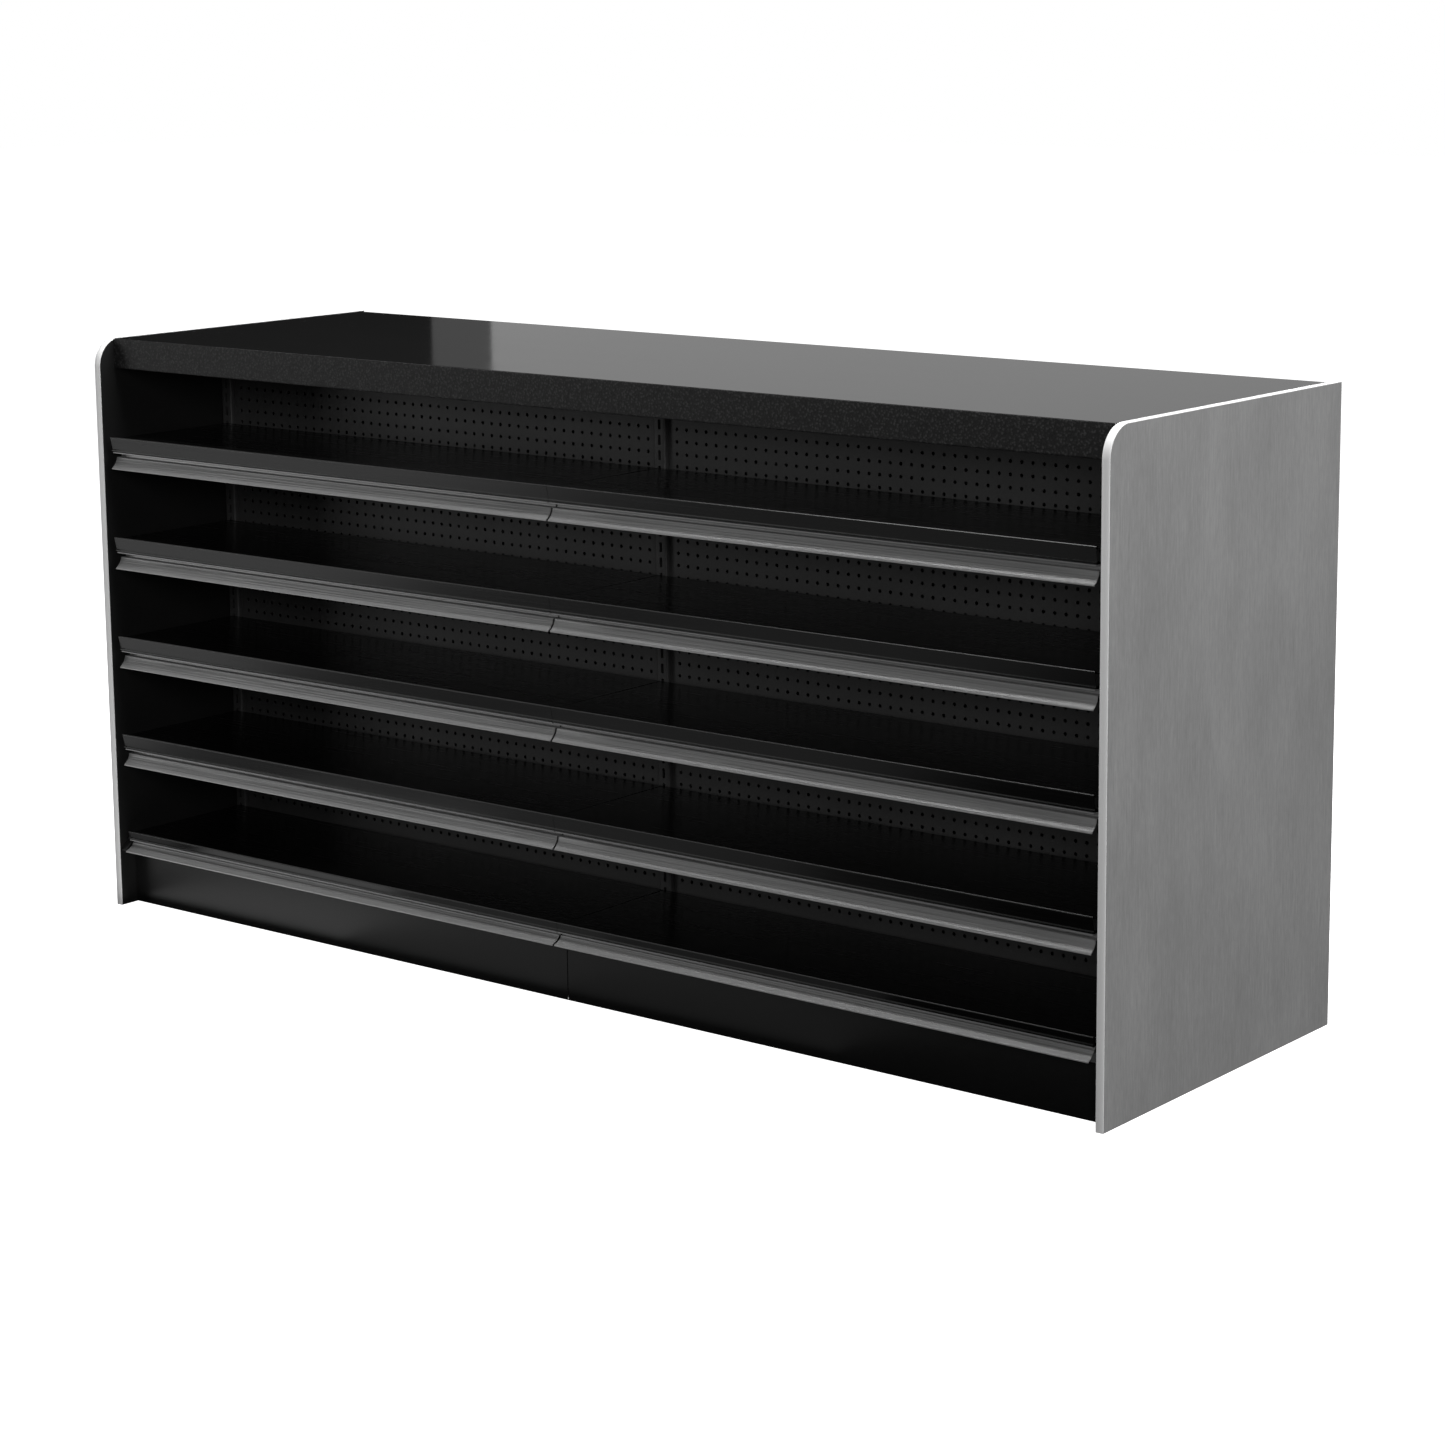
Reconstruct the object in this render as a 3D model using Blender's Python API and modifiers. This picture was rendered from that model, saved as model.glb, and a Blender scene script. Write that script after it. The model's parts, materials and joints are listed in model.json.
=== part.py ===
"""Gondola shelving unit: two bays of hook-on shelves between laminate end panels, under a countertop.

Metres, +Z up. The origin is on the floor, under the middle of the unit. The shelves face -Y.
Depths called "y" in the outlines below are measured back from the front edges of the end panels.
"""

import math

import bmesh
import bpy

# Driving dimensions
BAY = 1.250  # centre of one upright to centre of the next
UPRIGHT_WIDTH = 0.030
UPRIGHT_DEPTH = 0.070
BOARD = 0.016  # thickness of an end panel
DEPTH = 0.800
HEIGHT = 1.245
EDGE_BAND = 0.0012
CORNER_RADIUS = 0.060  # the rounded top front corner of an end panel
SLOT_PITCH = 0.031
SLOT_SIZE = (0.0039, 0.020)  # width and height of a slot
SLOT_DATUM = 0.023  # the lowest edge of slot number 0
FIRST_SLOT = 5
LAST_SLOT = 37
SHELF_SLOTS = (11, 18, 25, 32)  # the slot that each upper shelf hooks into, lowest shelf first
HOOK_DROP = 0.022  # from the top of a shelf's nose down to its slot's lowest edge

# Derived positions
FRONT = -DEPTH / 2
INNER_HALF = BAY + UPRIGHT_WIDTH / 2  # inner face of an end panel
UPRIGHT_FRONT = 0.347
BACK_SHEET_FRONT = UPRIGHT_FRONT + 0.010
UPRIGHT_BACK = UPRIGHT_FRONT + UPRIGHT_DEPTH
HINGE_DEPTH = UPRIGHT_FRONT + 0.001
LEG_TOP = 0.148
LEG_LOW_TOP = 0.100
LEG_BOTTOM = 0.020
LEG_SPAN = (0.050, 0.760)
COUNTER_TOP = HEIGHT - 0.001
COUNTER_THICKNESS = 0.022
COUNTER_SPAN = (0.0429, 0.779)
APRON_FRONT = 0.041
APRON_HEIGHT = 0.0645
BASE_TOP = 0.168  # top of the base deck's nose
FOOT_DEPTHS = (0.073, 0.722)
CLEARANCE = 0.0003

# Sheet thicknesses and half lengths
SHEET = 0.0012
BRACKET_SHEET = 0.0015
TRAY_HALF = BAY / 2 - 0.0021
CHANNEL_HALF = BAY / 2 - 0.0025
BAY_CENTRES = {"left": -BAY / 2, "right": BAY / 2}

PARTS = bpy.data.collections.new("gondola_shelving_unit")
CUTTERS = bpy.data.collections.new("cutters")


def clear_scene():
    """Remove whatever the opened file holds, then link the two collections."""
    for old in list(bpy.data.objects):
        bpy.data.objects.remove(old, do_unlink=True)
    scene = bpy.context.scene
    scene.collection.children.link(PARTS)
    scene.collection.children.link(CUTTERS)
    CUTTERS.hide_render = True


def srgb(code):
    """Turn a hex colour into linear RGBA."""
    values = [int(code[i:i + 2], 16) / 255 for i in (0, 2, 4)]
    linear = [v / 12.92 if v <= 0.04045 else ((v + 0.055) / 1.055) ** 2.4 for v in values]
    return (*linear, 1.0)


def finish(name, code, roughness, metallic=0.0):
    """One Principled material."""
    material = bpy.data.materials.new(name)
    material.use_nodes = True
    shader = material.node_tree.nodes["Principled BSDF"]
    shader.inputs["Base Color"].default_value = srgb(code)
    shader.inputs["Roughness"].default_value = roughness
    shader.inputs["Metallic"].default_value = metallic
    return material


FINISHES = {
    "laminate": finish("grey_laminate", "9A9A9A", 0.5),
    "edge": finish("pale_edge_banding", "C9C9C9", 0.4),
    "counter": finish("black_counter_laminate", "141414", 0.25),
    "apron": finish("pebbled_black_vinyl", "1C1C1C", 0.55),
    "frame": finish("black_powder_coat", "1E1E1E", 0.5),
    "tray": finish("gloss_black_enamel", "101010", 0.2),
    "channel": finish("satin_grey_extrusion", "7C7C7C", 0.35, 0.6),
    "zinc": finish("zinc_plated_steel", "A8ABAD", 0.35, 1.0),
}


def add(name, data, material, origin=(0, 0, 0), parent=None, collection=PARTS):
    """Link an object whose mesh is in world coordinates, and move its origin onto a point."""
    obj = bpy.data.objects.new(name, data)
    collection.objects.link(obj)
    if isinstance(data, bpy.types.Mesh):
        for vertex in data.vertices:
            for axis in range(3):
                vertex.co[axis] -= origin[axis]
    if parent:
        obj.parent = parent
    else:
        obj.location = origin
    if material:
        data.materials.append(FINISHES[material])
    return obj


def pivot(name, place):
    """An empty on a joint's axis, which the pieces that move together hang from."""
    empty = bpy.data.objects.new(name, None)
    empty.location = place
    empty.empty_display_size = 0.05
    PARTS.objects.link(empty)
    return empty


def mesh_of(bm, name):
    """Close a bmesh into a mesh with its faces pointing out."""
    bmesh.ops.recalc_face_normals(bm, faces=bm.faces)
    mesh = bpy.data.meshes.new(name)
    bm.to_mesh(mesh)
    bm.free()
    return mesh


def cuboid(bm, low, high):
    """Add an axis-aligned box to a bmesh."""
    made = bmesh.ops.create_cube(bm, size=1.0)["verts"]
    for vertex in made:
        for axis in range(3):
            middle = (low[axis] + high[axis]) / 2
            vertex.co[axis] = middle + vertex.co[axis] * (high[axis] - low[axis])
    return made


def box(name, low, high, material, bevel=0.0, **place):
    """A box from its lowest to its highest corner, with its edges broken by a bevel."""
    bm = bmesh.new()
    cuboid(bm, low, high)
    obj = add(name, mesh_of(bm, name), material, **place)
    if bevel:
        round_edges(obj, bevel)
    return obj


def round_edges(obj, width, segments=1):
    """Break the sharp edges of an object."""
    modifier = obj.modifiers.new("edges", "BEVEL")
    modifier.width = width
    modifier.segments = segments
    modifier.limit_method = "ANGLE"


def cut(obj, cutter):
    """Take a cutter out of an object."""
    cutter.hide_render = True
    cutter.display_type = "WIRE"
    modifier = obj.modifiers.new(cutter.name, "BOOLEAN")
    modifier.operation = "DIFFERENCE"
    modifier.solver = "EXACT"
    modifier.object = cutter


def union(obj, other):
    """Join a helper shape to an object."""
    other.hide_render = True
    other.display_type = "WIRE"
    modifier = obj.modifiers.new(other.name, "BOOLEAN")
    modifier.operation = "UNION"
    modifier.solver = "EXACT"
    modifier.object = other


def thicken(obj, thickness, branching=False):
    """Give an open sheet its thickness, half on each side."""
    modifier = obj.modifiers.new("sheet", "SOLIDIFY")
    modifier.thickness = thickness
    modifier.offset = 0.0
    modifier.use_even_offset = True
    if branching:
        modifier.solidify_mode = "NON_MANIFOLD"
        modifier.nonmanifold_thickness_mode = "CONSTRAINTS"
        modifier.nonmanifold_boundary_mode = "FLAT"


def folded_along_x(name, path, centre, half, material, thickness=SHEET, **place):
    """A folded sheet with one section: the (y, z) points of its middle line, carried along X."""
    bm = bmesh.new()
    rows = []
    for x in (centre - half, centre + half):
        rows.append([bm.verts.new((x, FRONT + y, z)) for y, z in path])
    for a, b in zip(range(len(path) - 1), range(1, len(path))):
        bm.faces.new((rows[0][a], rows[1][a], rows[1][b], rows[0][b]))
    obj = add(name, mesh_of(bm, name), material, **place)
    thicken(obj, thickness)
    return obj


def folded_along_z(name, path, low, high, material, thickness=SHEET):
    """A folded sheet with one section: the (x, y) points of its middle line, carried along Z."""
    bm = bmesh.new()
    rows = []
    for z in (low, high):
        rows.append([bm.verts.new((x, FRONT + y, z)) for x, y in path])
    for a, b in zip(range(len(path) - 1), range(1, len(path))):
        bm.faces.new((rows[0][a], rows[0][b], rows[1][b], rows[1][a]))
    obj = add(name, mesh_of(bm, name), material)
    thicken(obj, thickness)
    return obj


def board(name, outline, low, high, material):
    """A flat piece that stands in the YZ plane: its (y, z) outline, thick from low to high in X."""
    curve = bpy.data.curves.new(name, "CURVE")
    curve.dimensions = "2D"
    curve.fill_mode = "BOTH"
    curve.extrude = (high - low) / 2
    spline = curve.splines.new("POLY")
    spline.points.add(len(outline) - 1)
    for point, (y, z) in zip(spline.points, outline):
        point.co = (FRONT + y, z, 0, 1)
    spline.use_cyclic_u = True
    curve.materials.append(FINISHES[material])
    obj = bpy.data.objects.new(name, curve)
    obj.location.x = (low + high) / 2
    obj.rotation_euler = (math.radians(90), 0, math.radians(90))
    PARTS.objects.link(obj)
    return obj


def arc(centre, radius, start, end, steps):
    """Points on an arc in the YZ plane, with angles in degrees from +Y towards +Z."""
    angles = [math.radians(start + (end - start) * i / steps) for i in range(steps + 1)]
    return [(centre[0] + radius * math.cos(a), centre[1] + radius * math.sin(a)) for a in angles]


def panel_outline(inset):
    """An end panel seen from its side, drawn in from its front, top and back edges by an inset."""
    middle = (CORNER_RADIUS, HEIGHT - CORNER_RADIUS)
    corner = arc(middle, CORNER_RADIUS - inset, 180, 90, 12)
    return [(inset, 0), *corner, (DEPTH - inset, HEIGHT - inset), (DEPTH - inset, 0)]


def end_panels():
    """Each end panel is a laminate board, and its edge banding runs up the front, over and down."""
    for side, sign in (("left", -1), ("right", 1)):
        low, high = sorted((sign * INNER_HALF, sign * (INNER_HALF + BOARD)))
        board(f"end_panel_{side}", panel_outline(EDGE_BAND + CLEARANCE), low, high, "laminate")
        strip = panel_outline(0) + panel_outline(EDGE_BAND)[::-1]
        board(f"edge_band_{side}", strip, low, high, "edge")


def countertop():
    """A black board between the end panels, with a folded apron that hides its front edge."""
    reach = INNER_HALF - CLEARANCE
    low = (-reach, FRONT + COUNTER_SPAN[0], COUNTER_TOP - COUNTER_THICKNESS)
    high = (reach, FRONT + COUNTER_SPAN[1], COUNTER_TOP)
    box("countertop", low, high, "counter")
    face = APRON_FRONT + SHEET / 2
    bottom = COUNTER_TOP - APRON_HEIGHT + SHEET / 2
    path = [(face, COUNTER_TOP), (face, bottom), (face + 0.022, bottom), (face + 0.022, bottom + 0.012)]
    folded_along_x("front_apron", path, 0.0, reach, "apron")


def uprights():
    """Three rectangular tubes stand on the legs, with one column of slots in each front wall."""
    bm = bmesh.new()
    for number in range(FIRST_SLOT, LAST_SLOT + 1):
        bottom = SLOT_DATUM + SLOT_PITCH * number
        width, height = SLOT_SIZE
        low = (-width / 2, FRONT + UPRIGHT_FRONT - 0.002, bottom)
        cuboid(bm, low, (width / 2, FRONT + UPRIGHT_FRONT + 0.004, bottom + height))
    slots = mesh_of(bm, "slots")
    wall = 0.002
    half = UPRIGHT_WIDTH / 2 - CLEARANCE
    low_z = LEG_LOW_TOP + CLEARANCE
    high_z = COUNTER_TOP - COUNTER_THICKNESS - CLEARANCE
    for name, x in (("left", -BAY), ("centre", 0.0), ("right", BAY)):
        front, back = FRONT + UPRIGHT_FRONT, FRONT + UPRIGHT_BACK
        tube = box(f"upright_{name}", (x - half, front, low_z), (x + half, back, high_z), "frame")
        inside = ((x - half + wall, front + wall, 0.0), (x + half - wall, back - wall, HEIGHT))
        cut(tube, box(f"bore_{name}", *inside, None, collection=CUTTERS))
        cutter = add(f"slots_{name}", slots, None, collection=CUTTERS)
        cutter.location.x = x
        cut(tube, cutter)


def legs():
    """A folded leg under each upright reaches to the back, and the end legs carry a nose plate."""
    for name, x in (("left", -BAY), ("centre", 0.0), ("right", BAY)):
        half = UPRIGHT_WIDTH / 2 - CLEARANCE
        front, back = FRONT + LEG_SPAN[0], FRONT + LEG_SPAN[1]
        step = FRONT + UPRIGHT_FRONT - CLEARANCE
        leg = box(f"base_leg_{name}", (x - half, front, LEG_BOTTOM), (x + half, step, LEG_TOP), "frame")
        tail_low = (x - half, step - 0.02, LEG_BOTTOM)
        tail = box(f"tail_{name}", tail_low, (x + half, back, LEG_LOW_TOP), None, collection=CUTTERS)
        union(leg, tail)
        wall = 0.0025
        hollows = (
            (LEG_SPAN[0] + 0.046, UPRIGHT_FRONT - wall, LEG_TOP - wall),
            (UPRIGHT_FRONT - 0.02, LEG_SPAN[1] - 0.076, LEG_LOW_TOP - wall),
        )
        for number, (start, end, top) in enumerate(hollows):
            low = (x - half + wall, FRONT + start, 0.0)
            high = (x + half - wall, FRONT + end, top)
            cut(leg, box(f"hollow_{name}_{number}", low, high, None, collection=CUTTERS))
        for number, depth in enumerate(FOOT_DEPTHS):
            hole = cylinder(f"thread_{name}_{number}", x, depth, 0.0, LEG_BOTTOM + 0.030, 0.0056, 16)
            cut(leg, hole)
        if name != "centre":
            sign = 1 if x > 0 else -1
            near, far = sorted((x - sign * 0.0007, x + sign * half))
            nose = [(0.051, 0.120), (0.004, 0.1245), (0.024, LEG_TOP), (0.051, LEG_TOP)]
            plate = nose_plate(f"nose_{name}", nose, near, far)
            union(leg, plate)


def nose_plate(name, outline, low, high):
    """The end leg's nose, which closes the end of the base price channel."""
    bm = bmesh.new()
    rows = [[bm.verts.new((x, FRONT + y, z)) for y, z in outline] for x in (low, high)]
    bm.faces.new(rows[0])
    bm.faces.new(rows[1][::-1])
    for a in range(len(outline)):
        b = (a + 1) % len(outline)
        bm.faces.new((rows[0][b], rows[0][a], rows[1][a], rows[1][b]))
    return add(name, mesh_of(bm, name), None, collection=CUTTERS)


def cylinder(name, x, depth, low, high, radius, sides):
    """An upright cylinder used as a cutter."""
    bm = bmesh.new()
    height = high - low
    bmesh.ops.create_cone(
        bm, cap_ends=True, segments=sides, radius1=radius, radius2=radius, depth=height
    )
    bmesh.ops.translate(bm, vec=(x, FRONT + depth, low + height / 2), verts=bm.verts)
    return add(name, mesh_of(bm, name), None, collection=CUTTERS)


def levelling_feet():
    """A turned foot screws up into each end of each leg. Its origin is on its own screw axis."""
    profile = [(0.0, 0.045), (0.005, 0.045), (0.005, 0.014), (0.009, 0.014), (0.009, 0.0075)]
    profile += [(0.0130, 0.006), (0.0138, 0.004), (0.0138, 0.0), (0.0, 0.0)]
    for side, x in (("left", -BAY), ("centre", 0.0), ("right", BAY)):
        for place, depth in zip(("front", "rear"), FOOT_DEPTHS):
            name = f"levelling_foot_{side}_{place}"
            bm = bmesh.new()
            made = [bm.verts.new((r, 0, z)) for r, z in profile]
            for a, b in zip(made, made[1:]):
                bm.edges.new((a, b))
            mesh = bpy.data.meshes.new(name)
            bm.to_mesh(mesh)
            bm.free()
            foot = add(name, mesh, "zinc")
            foot.location = (x, FRONT + depth, 0)
            turn = foot.modifiers.new("turn", "SCREW")
            turn.steps = 20
            turn.render_steps = 20
            turn.use_merge_vertices = True
            turn.merge_threshold = 0.00005


def back_panels():
    """A back sheet per bay hooks between the uprights, and a plain sheet closes the rear."""
    for side, centre in BAY_CENTRES.items():
        half = BAY / 2 - UPRIGHT_WIDTH / 2 - SHEET
        face = BACK_SHEET_FRONT + SHEET / 2
        path = [(centre - half, face + 0.018), (centre - half, face)]
        path += [(centre + half, face), (centre + half, face + 0.018)]
        top = COUNTER_TOP - COUNTER_THICKNESS - 0.001
        folded_along_z(f"perforated_back_panel_{side}", path, LEG_TOP + 0.003, top, "frame")
        sign = 1 if centre > 0 else -1
        inner, outer = sign * 0.0015, sign * (INNER_HALF - 0.0015)
        face = COUNTER_SPAN[1] - 0.001 - SHEET / 2
        path = [(inner, face - 0.015), (inner, face), (outer, face), (outer, face - 0.015)]
        folded_along_z(f"rear_closing_panel_{side}", path, 0.004, top, "frame")


def nose(top, drop):
    """A tray's front: a low lip above the deck, a face that leans out at its top, and a return."""
    lean = 0.19 * drop
    front = 0.0086
    return [
        (front + 0.0074, top - 0.0066),
        (front + 0.0024, top - 0.0006),
        (front, top - 0.0006),
        (front + lean, top - drop),
        (front + lean + 0.018, top - drop),
    ]


def channel_path(top, depth, reach, height):
    """A price channel's section: a short top flange, then a hollow that flares forward to its lip.

    The hollow is a parabola. It is deepest a third of the way down, and its lip stands forward
    of that by the reach.
    """
    middle = top - 0.34 * height
    fall = height - 0.34 * height
    steps = 8
    shares = [-0.5 + 1.5 * i / steps for i in range(steps + 1)]
    hollow = [(depth - reach * share**2, middle - fall * share) for share in shares]
    return [(0.0152, top), *hollow]


def bracket(name, x, inward, top, parent, origin):
    """A cantilever bracket: a tapered plate with two hooks behind it and a flange under the deck."""
    bm = bmesh.new()
    back = UPRIGHT_FRONT - 0.0004
    behind = UPRIGHT_FRONT + 0.0030
    ledge = -0.00825
    outline = [
        (0.036, ledge),
        (0.044, ledge),
        (0.330, ledge),
        (back, ledge),
        (back, -0.012),
        (behind + 0.0024, -0.012),
        (behind + 0.0024, -0.027),
        (behind, -0.027),
        (behind, -HOOK_DROP + CLEARANCE),
        (back, -HOOK_DROP + CLEARANCE),
        (back, -0.038),
        (behind - 0.0004, -0.038),
        (behind - 0.0004, -0.046),
        (back, -0.046),
        (back, -0.064),
        (back - 0.010, -0.064),
        (0.036, -0.026),
    ]
    points = [bm.verts.new((x, FRONT + y, top + z)) for y, z in outline]
    bm.faces.new(points)
    shelf_edge = bm.edges.get((points[1], points[2]))
    grown = bmesh.ops.extrude_edge_only(bm, edges=[shelf_edge])["geom"]
    moved = [part for part in grown if isinstance(part, bmesh.types.BMVert)]
    bmesh.ops.translate(bm, vec=(inward * 0.012, 0, 0), verts=moved)
    obj = add(name, mesh_of(bm, name), "frame", origin=origin, parent=parent)
    thicken(obj, BRACKET_SHEET, branching=True)


def upper_shelf(side, centre, level, slot):
    """One shelf: its tray, its price channel and two brackets, all on the hinge of its hooks."""
    top = SLOT_DATUM + SLOT_PITCH * slot + HOOK_DROP
    place = (centre, FRONT + HINGE_DEPTH, top - HOOK_DROP)
    hinge = pivot(f"shelf_{side}_{level}_pivot", place)
    rear = UPRIGHT_FRONT - 0.004
    path = [(rear, top - 0.028), (rear, top - 0.0066), *nose(top, 0.0330)]
    rides = {"origin": place, "parent": hinge}
    folded_along_x(f"tray_{side}_{level}", path, centre, TRAY_HALF, "tray", **rides)
    section = channel_path(top - 0.0346, 0.0230, 0.0140, 0.0340)
    name = f"price_channel_{side}_{level}"
    folded_along_x(name, section, centre, CHANNEL_HALF, "channel", 0.0012, **rides)
    for end, sign in (("left", -1), ("right", 1)):
        x = centre + sign * (BAY / 2 - 0.00105)
        bracket(f"bracket_{side}_{level}_{end}", x, -sign, top, hinge, place)


def base(side, centre):
    """The base deck lies on the legs and lifts off, and the kick plate pulls off forwards."""
    rear = UPRIGHT_FRONT - 0.004
    lift = (centre, FRONT + UPRIGHT_FRONT / 2, LEG_TOP)
    rides = {"origin": lift, "parent": pivot(f"base_{side}_lift", lift)}
    drop = BASE_TOP - LEG_TOP - 0.001
    path = [(rear, LEG_TOP + 0.0004), (rear, BASE_TOP - 0.0066)]
    path += [(y + 0.005, z) for y, z in nose(BASE_TOP, drop)]
    folded_along_x(f"base_deck_{side}", path, centre, TRAY_HALF, "tray", **rides)
    section = channel_path(LEG_TOP - 0.0006, 0.0230, 0.0195, 0.0235)
    name = f"base_price_channel_{side}"
    folded_along_x(name, section, centre, CHANNEL_HALF, "channel", 0.0012, **rides)
    sign = 1 if centre > 0 else -1
    near, far = sign * 0.001, sign * (INNER_HALF - 0.001)
    place = ((near + far) / 2, FRONT + 0.044, 0.058)
    kick = [(0.049, 0.116), (0.044, 0.116), (0.044, 0.0012), (0.049, 0.0012)]
    rides = {"origin": place, "parent": pivot(f"kick_plate_{side}_pull", place)}
    folded_along_x(f"kick_plate_{side}", kick, place[0], abs(far - near) / 2, "frame", **rides)


def build():
    """Make every piece of the unit."""
    clear_scene()
    end_panels()
    countertop()
    uprights()
    legs()
    levelling_feet()
    back_panels()
    for side, centre in BAY_CENTRES.items():
        for level, slot in enumerate(SHELF_SLOTS, start=1):
            upper_shelf(side, centre, level, slot)
        base(side, centre)


build()
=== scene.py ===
"""The looks of a two-bay gondola shelving unit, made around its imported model.

Folded sheets are sections carried along a straight line, punched sheets are grids with a ring of faces round
every hole, and turned pieces are a radius that depends on height and angle. Everything is in metres.
"""

import json
import math

import bmesh
import bpy
import numpy as np
from mathutils import Matrix, Vector

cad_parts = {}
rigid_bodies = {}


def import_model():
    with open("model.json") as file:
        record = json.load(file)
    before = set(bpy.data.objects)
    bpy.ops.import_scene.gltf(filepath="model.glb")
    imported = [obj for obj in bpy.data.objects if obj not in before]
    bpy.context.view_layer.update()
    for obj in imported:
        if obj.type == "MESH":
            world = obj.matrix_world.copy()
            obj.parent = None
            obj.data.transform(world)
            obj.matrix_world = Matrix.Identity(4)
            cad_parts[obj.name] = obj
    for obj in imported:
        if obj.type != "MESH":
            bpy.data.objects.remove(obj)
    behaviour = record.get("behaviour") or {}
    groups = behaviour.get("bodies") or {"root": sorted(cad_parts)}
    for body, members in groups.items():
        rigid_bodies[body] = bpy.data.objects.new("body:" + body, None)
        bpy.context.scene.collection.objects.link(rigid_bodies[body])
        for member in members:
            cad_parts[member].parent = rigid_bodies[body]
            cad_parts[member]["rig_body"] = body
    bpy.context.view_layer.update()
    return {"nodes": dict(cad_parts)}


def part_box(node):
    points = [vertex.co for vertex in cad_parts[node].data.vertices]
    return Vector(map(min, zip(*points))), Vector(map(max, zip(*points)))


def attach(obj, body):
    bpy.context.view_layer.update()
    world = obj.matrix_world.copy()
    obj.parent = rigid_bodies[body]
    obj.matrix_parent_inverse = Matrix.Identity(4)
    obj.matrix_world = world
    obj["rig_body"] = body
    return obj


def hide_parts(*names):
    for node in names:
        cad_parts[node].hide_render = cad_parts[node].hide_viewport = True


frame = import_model()

SIDES = ("left", "right")
LEVELS = (1, 2, 3, 4)
POSTS = ("left", "centre", "right")

MM = 0.001
SHEET = 1.2 * MM  # thickness of the folded sheets
BEND = 1.6 * MM  # radius of a bend, at the middle of the sheet
ARRIS = 0.3 * MM  # how far a sheet's cut edges are broken
EDGE_BAND = 1.5 * MM  # thickness of the edge banding
CORNER_RADIUS = 60 * MM  # top front corners of the end panels
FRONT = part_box("end_panel_right")[0].y - EDGE_BAND  # front of the edge banding

HOLE_PITCH = 25 * MM
HOLE_RADIUS = 3.8 * MM
HOLE_COLUMNS = 48  # in each back panel
HOLE_ROWS = (7, 47)  # numbers of the first and last rows
HOLE_DATUM = 10 * MM  # height of row number 0
RING = 12  # faces round a punched hole

SLOT_PITCH = 31 * MM
SLOT_DATUM = 33 * MM  # height of the middle of slot number 0
SLOT_NUMBERS = (4, 37)  # the first and last slots
SLOT_WIDTH = 7 * MM
SLOT_HEIGHT = 20 * MM
SLOT_CORNER = 1.6 * MM
TUBE_WALL = 2 * MM
TUBE_CORNER = 3 * MM

LIP_SETBACK = 8.6 * MM  # from the front to a tray's lip
LIP_HEIGHT = 6.6 * MM  # of a tray's lip over its deck
NOSE_LEAN = 0.19  # how far a tray's nose leans back for each unit of its height
NOSE_STEPS = 34 * MM  # depth of the tray's front that is wider than its deck
NOSE_OVERHANG = 1.7 * MM  # how much wider it is at each end

THREAD_PITCH = 1.5  # of a levelling foot, in millimetres
GLOW = 1.15  # brightness of the floor outside the unit


# Materials --------------------------------------------------------------------------------------------


def linear(code):
    """An sRGB hex colour as linear RGBA."""
    values = np.array([int(code[i:i + 2], 16) for i in (0, 2, 4)]) / 255
    made = np.where(values <= 0.04045, values / 12.92, ((values + 0.055) / 1.055) ** 2.4)
    return (*made.tolist(), 1.0)


def node(tree, kind, sockets=None, **settings):
    """Add a shader node. A socket takes a plain value or another node's output."""
    made = tree.nodes.new("ShaderNode" + kind)
    for name, value in settings.items():
        setattr(made, name, value)
    for name, value in (sockets or {}).items():
        if isinstance(value, bpy.types.NodeSocket):
            tree.links.new(value, made.inputs[name])
        else:
            made.inputs[name].default_value = value
    return made


def material(name, roughness, metallic=0.0, **plain):
    """A Principled material with a place for its colour, roughness and bump to be linked."""
    made = bpy.data.materials.new(name)
    made.use_nodes = True
    shader = made.node_tree.nodes["Principled BSDF"]
    shader.inputs["Roughness"].default_value = roughness
    shader.inputs["Metallic"].default_value = metallic
    for socket, value in plain.items():
        shader.inputs[socket.replace("_", " ")].default_value = value
    return made, made.node_tree, shader


def stretched(tree, periods):
    """Object coordinates counted in periods: one unit for each given length in millimetres along X, Y, Z."""
    place = node(tree, "TexCoord").outputs["Object"]
    scale = [1 / (period * MM) for period in periods]
    return node(tree, "Mapping", {"Vector": place, "Scale": scale}).outputs["Vector"]


def noise(tree, periods, detail=2.0, roughness=0.5):
    """Soft noise with one feature to each period."""
    sockets = {"Vector": stretched(tree, periods), "Scale": 1.0, "Detail": detail, "Roughness": roughness}
    return node(tree, "TexNoise", sockets).outputs["Fac"]


def span(tree, value, low, high, to_low, to_high):
    """Carry a value from one span to another, held at its ends."""
    sockets = {"Value": value, "From Min": low, "From Max": high, "To Min": to_low, "To Max": to_high}
    return node(tree, "MapRange", sockets).outputs["Result"]


def tones(tree, factor, *codes):
    """A ramp through evenly spaced colours."""
    ramp = node(tree, "ValToRGB", {"Fac": factor})
    elements = ramp.color_ramp.elements
    while len(elements) < len(codes):
        elements.new(0.5)
    for number, code in enumerate(codes):
        elements[number].position = number / (len(codes) - 1)
        elements[number].color = linear(code)
    return ramp.outputs["Color"]


def sum_of(tree, first, second, share=1.0):
    """first + share * second."""
    sockets = {0: second, 1: share, 2: first}
    return node(tree, "Math", sockets, operation="MULTIPLY_ADD").outputs[0]


def raised(tree, shader, height, depth):
    """Bump the surface by height times a depth in millimetres."""
    sockets = {"Height": height, "Distance": depth * MM, "Strength": 1.0}
    tree.links.new(node(tree, "Bump", sockets).outputs["Normal"], shader.inputs["Normal"])


def set_colour(tree, shader, colour):
    """Link a colour to the surface."""
    tree.links.new(colour, shader.inputs["Base Color"])


def set_roughness(tree, shader, value):
    """Link a roughness to the surface."""
    tree.links.new(value, shader.inputs["Roughness"])


def object_axes(tree):
    """The Object coordinates X, Y and Z, each on its own."""
    return node(tree, "SeparateXYZ", {"Vector": node(tree, "TexCoord").outputs["Object"]}).outputs


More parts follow.
